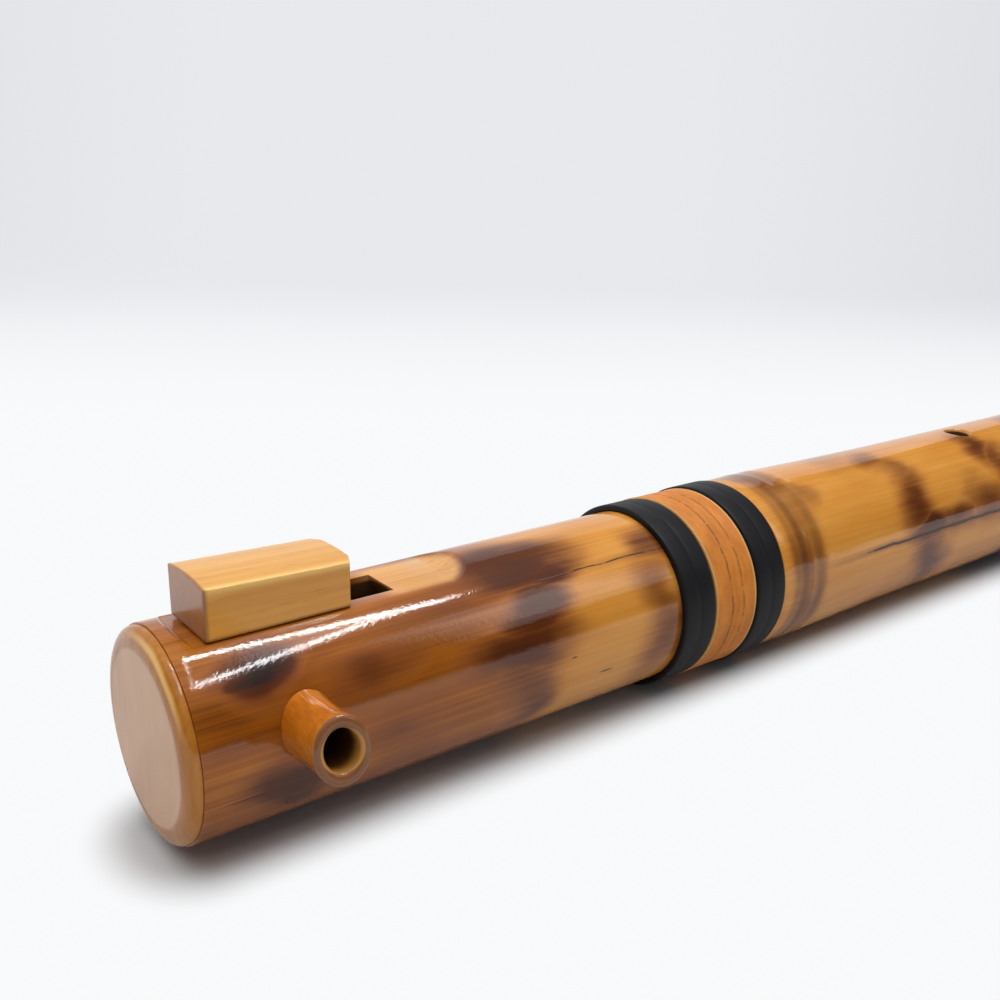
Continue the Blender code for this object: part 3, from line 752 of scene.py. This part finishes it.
def pick(piece, kind, chosen):
    """Select the faces or the points that a test accepts, in edit mode."""
    only(piece)
    bpy.ops.object.mode_set(mode="EDIT")
    bpy.ops.mesh.select_mode(type=kind)
    bpy.ops.mesh.select_all(action="DESELECT")
    bpy.ops.object.mode_set(mode="OBJECT")
    for part in piece.data.polygons if kind == "FACE" else piece.data.vertices:
        part.select = chosen(part)
    bpy.ops.object.mode_set(mode="EDIT")


def pull_faces(piece, chosen, move):
    """Extrude the faces that a test accepts."""
    pick(piece, "FACE", chosen)
    bpy.ops.mesh.extrude_region_move(TRANSFORM_OT_translate={"value": move})
    bpy.ops.object.mode_set(mode="OBJECT")


def shift_points(piece, chosen, move):
    """Move the points whose place a test accepts."""
    pick(piece, "VERT", lambda point: chosen(point.co))
    bpy.ops.transform.translate(value=move)
    bpy.ops.object.mode_set(mode="OBJECT")


def lay_at(piece, placing):
    """Turn and move a piece, and write that into its mesh."""
    only(piece)
    piece.matrix_world = placing
    bpy.ops.object.transform_apply(location=True, rotation=True, scale=True)


def lay_along_mouth(piece):
    """Lay a piece turned about +X along the mouthpiece's axis, a little flattened along the flute."""
    axis = mouth_axis()
    across = (Vector((1.0, 0.0, 0.0)) - axis * axis.x).normalized()
    turn = Matrix((axis, across * MOUTH_OVAL, axis.cross(across))).transposed().to_4x4()
    lay_at(piece, Matrix.Translation((MOUTH_X, 0.0, 0.0)) @ turn)
    return piece


def cut_bed(tube, side, above):
    """Mill the flat bed along the top of the head, with a sloping lead-in and a run-out in three rises."""
    bed = box_shape((BED_START, -side, BED_HEIGHT), (BED_FLAT_END, side, above))
    for share, rise in RUNOUT_RISES:
        last = max(point.co.x for point in bed.data.vertices)
        end = BED_FLAT_END + BED_RUNOUT * share
        pull_faces(bed, lambda face: face.center.x > last - 1e-6, (end - last, 0.0, 0.0))
        bottom = min(point.co.z for point in bed.data.vertices if point.co.x > end - 1e-5)
        shift_points(bed, lambda place: place.x > end - 1e-5 and place.z < bottom + 1e-5,
                     (0.0, 0.0, BED_HEIGHT + rise - bottom))
    pull_faces(bed, lambda face: face.center.x < BED_START + 1e-6, (-BED_LEAD_IN, 0.0, 0.0))
    shift_points(bed, lambda place: place.x < BED_START - 1e-5 and place.z < BED_HEIGHT + 1e-5,
                 (0.0, 0.0, HEAD_R + SEAT_GAP - BED_HEIGHT))
    combine(tube, bed)


def cut_air_ways(tube, above):
    """Cut the sound hole with its undercut edge, the breath exit and the shallow wind way between them."""
    half = SOUND_HOLE_WIDTH / 2
    deep = BORE_R * 0.7
    under_bed = BED_HEIGHT - 0.0002
    window = box_shape((SOUND_HOLE_START, -half, deep), (SOUND_HOLE_END, half, under_bed))
    shift_points(window, lambda place: place.x > SOUND_HOLE_END - 1e-5 and place.z < BORE_R,
                 (SPLITTING_EDGE_UNDERCUT, 0.0, 0.0))
    pull_faces(window, lambda face: face.normal.z > 0.9, (0.0, 0.0, above - BED_HEIGHT))
    combine(tube, window)
    combine(tube, box_shape((BREATH_EXIT_START, -half, deep), (BREATH_EXIT_END, half, above)))
    combine(tube, box_shape((BREATH_EXIT_START + EDGE, EDGE - half, BED_HEIGHT - WIND_WAY_DEPTH),
                            (SOUND_HOLE_START + EDGE, half - EDGE, above)))


def make_head_tube(material):
    """The head: a turned tube with rings along it that keep its reflections straight, then its cuts."""
    outer = HEAD_R - SKIN
    side = HEAD_R * 1.1
    above = HEAD_R * 1.2
    profile = [(SEAM_X, BORE_R + EDGE), (SEAM_X, outer - SEAM_EDGE)]
    profile += arc(SEAM_X + SEAM_EDGE, outer - SEAM_EDGE, SEAM_EDGE, SEAM_EDGE, 180, 90, 4)[1:]
    profile += [(SEAM_X + (JOINT_X - SEAM_X) * ring / HEAD_RINGS, outer) for ring in range(1, HEAD_RINGS)]
    profile += arc(JOINT_X - EDGE, outer - EDGE, EDGE, EDGE, 90, 0, 4)
    profile += [(JOINT_X, BORE_R + EDGE), (JOINT_X - EDGE, BORE_R), (SEAM_X + EDGE, BORE_R)]
    tube = turned_piece("bamboo_head", profile)
    cut_bed(tube, side, above)
    cut_air_ways(tube, above)
    socket_r = MOUTH_SPIGOT_R + SEAT_GAP
    socket = turned_piece("socket", [(BORE_R * 0.8, socket_r), (side, socket_r)], sides=96, solid=True)
    combine(tube, lay_along_mouth(socket))
    bevel(tube, HEAD_RIM, 2)
    smooth(tube, TUBE_SMOOTH_DEG)
    finish_piece(tube, material, "head", "head_tube")


def bamboo_radius(x):
    """Outside radius of the body: waisted between the nodes and swollen at each of them."""
    swells = [math.exp(-((x - node - NODE_RING_SPACING / 2) / NODE_SWELL_REACH) ** 2) for node in NODE_PLACES]
    return WAIST_R + NODE_SWELL * sum(swells)


def node_ring(x):
    """Height of the scar ring and the node ridge at a place along the body."""
    height = 0.0
    for node in NODE_PLACES:
        for middle, half in ((node, NODE_RING_HALF), (node + NODE_RING_SPACING, NODE_RING_HALF * 1.2)):
            off = min(1.0, abs(x - middle) / half)
            height += NODE_RING_HEIGHT * 0.5 * (1.0 + math.cos(math.pi * off))
    return height


def body_profile():
    """The body's outline: a seat under the band, then bamboo with a point wherever its outside changes."""
    start, end = BODY_LOW.x, BODY_HIGH.x - FOOT_INSET
    shoulder = BODY_BAND_HIGH.x + SEAT_GAP
    profile = [(start, BORE_R + EDGE), (start, SEAT_R - EDGE), (start + EDGE, SEAT_R), (shoulder, SEAT_R)]
    profile += arc(shoulder + EDGE, bamboo_radius(shoulder) - EDGE, EDGE, EDGE, 180, 90, 3)
    x = shoulder + EDGE
    while x < end - 3 * EDGE:
        near_node = any(-NODE_MARGIN < x - node < NODE_RING_SPACING + NODE_MARGIN for node in NODE_PLACES)
        x = min(x + (NODE_STEP if near_node else BODY_STEP), end - 2 * EDGE)
        profile.append((x, min(bamboo_radius(x) + node_ring(x), BODY_HIGH.y) - SKIN))
    profile += arc(end - EDGE, bamboo_radius(end) - SKIN - EDGE, EDGE, EDGE, 90, 0, 4)
    return profile + [(end, BORE_R + EDGE), (end - EDGE, BORE_R), (start + EDGE, BORE_R)]


def make_body_tube(material):
    """The body: a turned tube with a row of dished finger holes."""
    tube = turned_piece("bamboo_body", body_profile(), sides=128)
    turn = Matrix.Rotation(math.radians(HOLE_ROW_TURN_DEG), 4, "X") @ Matrix.Rotation(-math.pi / 2, 4, "Y")
    for x in HOLE_PLACES:
        surface = bamboo_radius(x)
        profile = [(BORE_R * 0.8, HOLE_R), (surface - HOLE_DISH_DEPTH, HOLE_R),
                   (surface - HOLE_DISH_DEPTH * 0.4, HOLE_R + EDGE), (surface + HOLE_LIP, HOLE_DISH_R),
                   (surface * 1.1, HOLE_DISH_R)]
        drill = turned_piece("drill", profile, sides=64, solid=True)
        lay_at(drill, Matrix.Translation((x, 0.0, 0.0)) @ turn)
        combine(tube, drill)
    smooth(tube, TUBE_SMOOTH_DEG)
    finish_piece(tube, material, "body", "body_tube")


def make_cap(material):
    """A turned cap: flat face, elliptical edge, a fine groove at the seam and a spigot."""
    outer = CAP_HIGH.y - SKIN
    seam = SEAM_X - SKIN
    spigot_r = BORE_R - SEAT_GAP
    profile = [(CAP_HIGH.x, spigot_r - EDGE), (CAP_HIGH.x - EDGE, spigot_r), (seam, spigot_r)]
    profile += arc(seam - SEAM_EDGE, outer - SEAM_EDGE, SEAM_EDGE, SEAM_EDGE, 0, 90, 4)
    profile += arc(CAP_EDGE_DEPTH, CAP_FLAT_R, CAP_EDGE_DEPTH, outer - CAP_FLAT_R, 90, 180, 20)
    cap = turned_piece("turned_cap", profile, solid=True)
    smooth(cap, 35.0)
    finish_piece(cap, material, "head", "end_cap")


def nose_shape(edge_x, length, half, flat_x, low, high, upright):
    """A half round of a given length whose flat side is drawn back: a cutter for the block's nose."""
    bpy.ops.object.select_all(action="DESELECT")
    cut_x = edge_x - length
    if upright:
        radius = (half * half + length * length) / (2 * length)
        bpy.ops.mesh.primitive_cylinder_add(vertices=160, radius=radius, depth=high - low,
                                            location=(edge_x - radius, 0.0, (low + high) / 2))
    else:
        bpy.ops.mesh.primitive_cylinder_add(vertices=160, radius=1.0, depth=half * 2,
                                            rotation=(math.pi / 2, 0.0, 0.0), location=(cut_x, 0.0, low),
                                            scale=(length, high - low, 1.0))
    piece = bpy.context.object
    bpy.ops.object.transform_apply(location=True, rotation=True, scale=True)
    bpy.ops.object.mode_set(mode="EDIT")
    bpy.ops.mesh.select_all(action="SELECT")
    bpy.ops.mesh.bisect(plane_co=(cut_x, 0.0, 0.0), plane_no=(1.0, 0.0, 0.0), use_fill=True, clear_inner=True)
    if not upright:
        bpy.ops.mesh.select_all(action="SELECT")
        bpy.ops.mesh.bisect(plane_co=(0.0, 0.0, low), plane_no=(0.0, 0.0, 1.0), use_fill=True,
                            clear_inner=True)
    bpy.ops.object.mode_set(mode="OBJECT")
    if not upright:
        pull_faces(piece, lambda face: face.normal.z < -0.9 and face.center.z < low + 1e-5, (0.0, 0.0, -0.01))
    pull_faces(piece, lambda face: face.normal.x < -0.9 and face.center.x < cut_x + 1e-5,
               (flat_x - cut_x, 0.0, 0.0))
    pick(piece, "FACE", lambda face: True)
    bpy.ops.mesh.normals_make_consistent(inside=False)
    bpy.ops.object.mode_set(mode="OBJECT")
    return piece


def make_block(material):
    """A box under a crowned top that falls to the nose, rounded in plan and from the side, then softened."""
    low, high = BLOCK_LOW, BLOCK_HIGH
    half = high.y
    past = 0.002
    past_nose = 0.0003
    past_crown = 0.0002
    block = box_shape((low.x, -half, low.z), (high.x, half, high.z))
    block.name = "carved_block"
    crown_r = (half * half + BLOCK_CROWN ** 2) / (2 * BLOCK_CROWN)
    fall = math.atan(BLOCK_FALL / (high.x - low.x))
    bpy.ops.object.select_all(action="DESELECT")
    middle = Vector(((low.x + high.x) / 2, 0.0, high.z - BLOCK_FALL / 2 - crown_r))
    bpy.ops.mesh.primitive_cylinder_add(vertices=400, radius=crown_r, depth=0.08, location=middle,
                                        rotation=(0.0, math.pi / 2 + fall, 0.0))
    crown = bpy.context.object
    bpy.ops.object.transform_apply(location=True, rotation=True, scale=True)
    combine(block, crown, "INTERSECT")
    in_plan = nose_shape(high.x, BLOCK_NOSE_IN_PLAN, half, low.x - past, low.z - past, high.z + past, True)
    combine(block, in_plan, "INTERSECT")
    from_side = nose_shape(high.x + past_nose, BLOCK_NOSE_LENGTH, half * 1.3, low.x - past,
                           low.z + BLOCK_NOSE_FOOT, high.z + past_crown, False)
    combine(block, from_side, "INTERSECT")
    bevel(block, BLOCK_EDGE, 4)
    apply_change(block, "REMESH", mode="VOXEL", voxel_size=BLOCK_GRID, use_smooth_shade=True)
    apply_change(block, "SMOOTH", factor=0.5, iterations=6)
    finish_piece(block, material, "head", "block")


def make_mouthpiece(material):
    """A short oval tube that narrows from its foot and swells again at a rounded rim."""
    lip = (MOUTH_RIM_R - MOUTH_BORE_R) / 2
    foot = BORE_R + SEAT_GAP
    seat = HEAD_R - MOUTH_SEAT_DEPTH
    rim_start = MOUTH_REACH - MOUTH_RIM_LENGTH
    profile = [(foot, MOUTH_BORE_R), (foot, MOUTH_SPIGOT_R), (seat, MOUTH_SPIGOT_R)]
    profile += arc(rim_start, MOUTH_BASE_R, rim_start - seat, MOUTH_BASE_R - MOUTH_NECK_R, 180, 270, 14)
    profile += arc(rim_start, MOUTH_RIM_R - MOUTH_RIM_ROUND, MOUTH_RIM_SWELL, MOUTH_RIM_ROUND, 180, 90, 4)[1:]
    profile += arc(MOUTH_REACH - lip * 0.7, MOUTH_BORE_R + lip, lip * 0.7, lip, 90, -90, 14)
    piece = lay_along_mouth(turned_piece("cane_mouthpiece", profile, sides=96))
    smooth(piece, 40.0)
    finish_piece(piece, material, "head", "mouthpiece_tube")


def make_band(name, low, high, inner_r, material, body, node):
    """A flat elastic loop: rounded edges and a shallow crease along its middle."""
    outer = high.y - SKIN
    shoulder = outer - BAND_CORNER
    middle = (low.x + high.x) / 2
    profile = [(low.x, inner_r), (low.x, shoulder)]
    profile += arc(low.x + BAND_CORNER, shoulder, BAND_CORNER, BAND_CORNER, 180, 90, 6)[1:]
    profile += [(middle + off, outer - depth) for off, depth in BAND_CREASE]
    profile += arc(high.x - BAND_CORNER, shoulder, BAND_CORNER, BAND_CORNER, 90, 0, 6)
    profile += [(high.x, inner_r)]
    band = turned_piece(name, profile)
    smooth(band, 40.0)
    finish_piece(band, material, body, node)


def make_wrap(material):
    """A leather strip, faintly crowned across its width, whose ends meet in a seam underneath."""
    low, high = WRAP_LOW, WRAP_HIGH
    inner_r = HEAD_R + SEAT_GAP
    outer = high.y - SKIN
    steps = 16
    profile = [(low.x, inner_r), (low.x, outer - WRAP_EDGE)]
    for step in range(steps + 1):
        share = step / steps
        x = low.x + WRAP_EDGE + (high.x - low.x - 2 * WRAP_EDGE) * share
        profile.append((x, outer - WRAP_CROWN * (1 - (2 * share - 1) ** 4)))
    profile += [(high.x, outer - WRAP_EDGE), (high.x, inner_r)]
    wrap = turned_piece("wrap", profile)
    seam = box_shape((low.x - 0.001, -WRAP_SEAM_HALF, -outer * 1.1),
                     (high.x + 0.001, WRAP_SEAM_HALF, -inner_r * 0.9))
    lay_at(seam, Matrix.Rotation(math.radians(WRAP_SEAM_TURN_DEG), 4, "X"))
    combine(wrap, seam)
    smooth(wrap, 30.0)
    finish_piece(wrap, material, "head", "leather_wrap")


def dress(node, material):
    """Give a CAD node that stays in the picture its material."""
    mesh = NODES[node].data
    mesh.materials.clear()
    mesh.materials.append(material)


def floor_paper():
    """Pale paper: it takes shadow beside the flute, glows further off with painted shade that greys it far
    away and to the sides, and is clear from behind.
    """
    finish = Finish("floor_paper", 0.25)
    finish.set("Roughness", 0.55)
    finish.set("Base Color", (*PAPER, 1.0))
    camera_ray, glossy_ray, through_ray = [
        finish.node("ShaderNodeLightPath", output=ray)
        for ray in ("Is Camera Ray", "Is Glossy Ray", "Is Transmission Ray")]
    back = finish.node("ShaderNodeNewGeometry", output="Backfacing")
    x, y = finish.split(finish.place(), "XY")
    depth = x * HEADING_X + y * HEADING_Y
    aside = ((x * HEADING_Y - y * HEADING_X) / (depth + 0.5).larger(0.3)).size()
    # Painted shade: the glow greys with distance and towards the sides
    painted_falloff = finish.blend(finish.between(aside, 0.15, 0.55), PAPER_FAR_SHADE, PAPER_CORNER_SHADE)
    paper = finish.blend(finish.between(depth, 0.40, 1.20), PAPER_NEAR, painted_falloff)
    glow = finish.node("ShaderNodeEmission", None, {"Color": paper, "Strength": 1.0})
    clear = finish.node("ShaderNodeBsdfTransparent")
    past = (END_MARGIN - x).larger(x - BODY_HIGH.x + END_MARGIN).larger(0.0) * 1.25
    beside = (y * y + past * past) ** 0.5
    mirrored = finish.between(beside, MIRROR_FROM, MIRROR_TO) * glossy_ray.larger(through_ray)
    far = (finish.between(beside, SHADOW_FROM, SHADOW_TO) * camera_ray).larger(mirrored)
    shadowed = Value(finish, finish.shader.outputs[0])
    lit = finish.node("ShaderNodeMixShader", None, {0: far, 1: shadowed, 2: glow})
    shown = finish.node("ShaderNodeMixShader", None, {0: back, 1: lit, 2: clear})
    finish.tree.links.new(shown.socket, finish.tree.nodes["Material Output"].inputs["Surface"])
    return finish.material


def add_stage():
    """A pale floor that sweeps up into a pale wall, seen from the front only."""
    corner = WALL_Y - WALL_CURVE
    outline = [(-FLOOR_REACH, FLOOR_Z)]
    for step in range(SWEEP_STEPS + 1):
        angle = 0.5 * math.pi * step / SWEEP_STEPS
        outline.append((corner + WALL_CURVE * math.sin(angle), FLOOR_Z + WALL_CURVE * (1 - math.cos(angle))))
    outline.append((WALL_Y, WALL_HEIGHT))
    points = [(x, y, z) for y, z in outline for x in (-FLOOR_REACH, FLOOR_REACH + 1.0)]
    faces = [(i, i + 1, i + 3, i + 2) for i in range(0, len(points) - 2, 2)]
    mesh = bpy.data.meshes.new("floor")
    mesh.from_pydata(points, [], faces)
    mesh.shade_smooth()
    mesh.materials.append(floor_paper())
    floor = bpy.data.objects.new("floor", mesh)
    bpy.context.scene.collection.objects.link(floor)


def add_world():
    """Nearly white where the camera sees it, and a soft dome for the light: bright overhead, dim low down."""
    world = bpy.data.worlds.new("studio")
    bpy.context.scene.world = world
    world.use_nodes = True
    nodes, links = world.node_tree.nodes, world.node_tree.links
    direction = nodes.new("ShaderNodeTexCoord")
    parts = nodes.new("ShaderNodeSeparateXYZ")
    links.new(direction.outputs["Generated"], parts.inputs[0])
    height = nodes.new("ShaderNodeMapRange")
    height.interpolation_type = "SMOOTHSTEP"
    height.inputs["From Min"].default_value = 0.45
    height.inputs["From Max"].default_value = 1.05
    links.new(parts.outputs["Z"], height.inputs["Value"])
    dome = nodes.new("ShaderNodeMix")
    dome.data_type = "RGBA"
    dome.inputs[6].default_value = (*DOME_LOW, 1.0)
    dome.inputs[7].default_value = (*DOME_HIGH, 1.0)
    links.new(height.outputs[0], dome.inputs[0])
    path = nodes.new("ShaderNodeLightPath")
    seen = nodes.new("ShaderNodeMix")
    seen.data_type = "RGBA"
    seen.inputs[7].default_value = (*DOME_SEEN, 1.0)
    links.new(path.outputs["Is Camera Ray"], seen.inputs[0])
    links.new(dome.outputs[2], seen.inputs[6])
    links.new(seen.outputs[2], nodes["Background"].inputs["Color"])


def add_panel(name, place, target, size, power, along, in_gloss):
    """A soft lamp facing a target, its long side turned along a direction. It lights, or only glints."""
    lamp = bpy.data.lights.new(name, "AREA")
    lamp.shape = "RECTANGLE"
    lamp.size, lamp.size_y = size
    lamp.energy = power
    panel = bpy.data.objects.new(name, lamp)
    bpy.context.scene.collection.objects.link(panel)
    back = (Vector(place) - Vector(target)).normalized()
    side = Vector(along)
    side = (side - back * side.dot(back)).normalized()
    turn = Matrix((side, back.cross(side), back)).transposed().to_4x4()
    panel.matrix_world = Matrix.Translation(place) @ turn
    panel.visible_glossy = in_gloss
    panel.visible_diffuse = not in_gloss


def add_lights():
    for panel in FILL_PANELS:
        add_panel(*panel, in_gloss=False)
    for panel in GLOSS_PANELS:
        add_panel(*panel, in_gloss=True)


def add_camera():
    lens = bpy.data.cameras.new("camera")
    lens.lens = LENS_MM
    lens.sensor_width = SENSOR_MM
    lens.clip_start = 0.01
    lens.clip_end = 20.0
    camera = bpy.data.objects.new("camera", lens)
    bpy.context.scene.collection.objects.link(camera)
    camera.location = CAMERA_PLACE
    camera.rotation_euler = Euler([math.radians(turn) for turn in CAMERA_TURN_DEG])
    bpy.context.scene.camera = camera


def main():
    bpy.context.scene.view_settings.view_transform = "Standard"
    make_head_tube(bamboo("head_bamboo", HEAD_PATCHES, HEAD_R, HEAD_DEEP_UNTIL, HEAD_MARKS, HEAD_CRACKS))
    body_bamboo = bamboo("body_bamboo", BODY_PATCHES, WAIST_R, BODY_DEEP_UNTIL, (), BODY_CRACKS, NODE_PLACES)
    make_body_tube(body_bamboo)
    make_mouthpiece(mouthpiece_bamboo())
    make_cap(cap_wood())
    make_block(block_wood())
    band = rubber()
    make_band("rubber_band_head", HEAD_BAND_LOW, HEAD_BAND_HIGH, HEAD_R + SEAT_GAP, band, "head", "head_band")
    make_band("rubber_band_body", BODY_BAND_LOW, BODY_BAND_HIGH, SEAT_R + SEAT_GAP, band, "body", "body_band")
    make_wrap(leather())
    inner_wood, inner_cork = plain_wood(), cork()
    for node in ("chamber_wall", "joint_sleeve"):
        dress(node, inner_wood)
    for node in ("head_cork", "body_cork"):
        dress(node, inner_cork)
    add_stage()
    add_world()
    add_lights()
    add_camera()


main()
